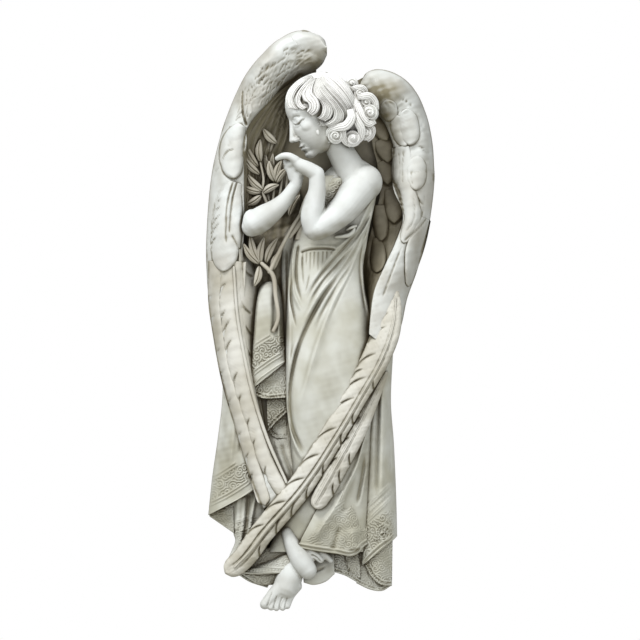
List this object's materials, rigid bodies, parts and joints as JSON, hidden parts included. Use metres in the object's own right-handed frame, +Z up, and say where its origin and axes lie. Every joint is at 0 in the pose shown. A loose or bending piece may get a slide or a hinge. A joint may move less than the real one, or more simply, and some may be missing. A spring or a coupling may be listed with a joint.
{
  "type": "angel wall frieze",
  "caption": "High-relief wall plaque of a standing winged figure in a long draped robe, cast in one piece with a flat back.",
  "frame": {"origin": "point on the flat back where the plaque hangs on the wall, above its centre of mass", "axes": "+Z up along the figure, -Y out of the wall towards the viewer, +X to the viewer's right"},
  "size_m": [0.2964, 0.1194, 0.752],
  "materials": {
    "cast_stone_resin": "matte off-white cast stone with a brown-grey wash in the hollows"
  },
  "bodies": {
    "root": {"angel_relief": "cast_stone_resin"}
  },
  "joints": []
}
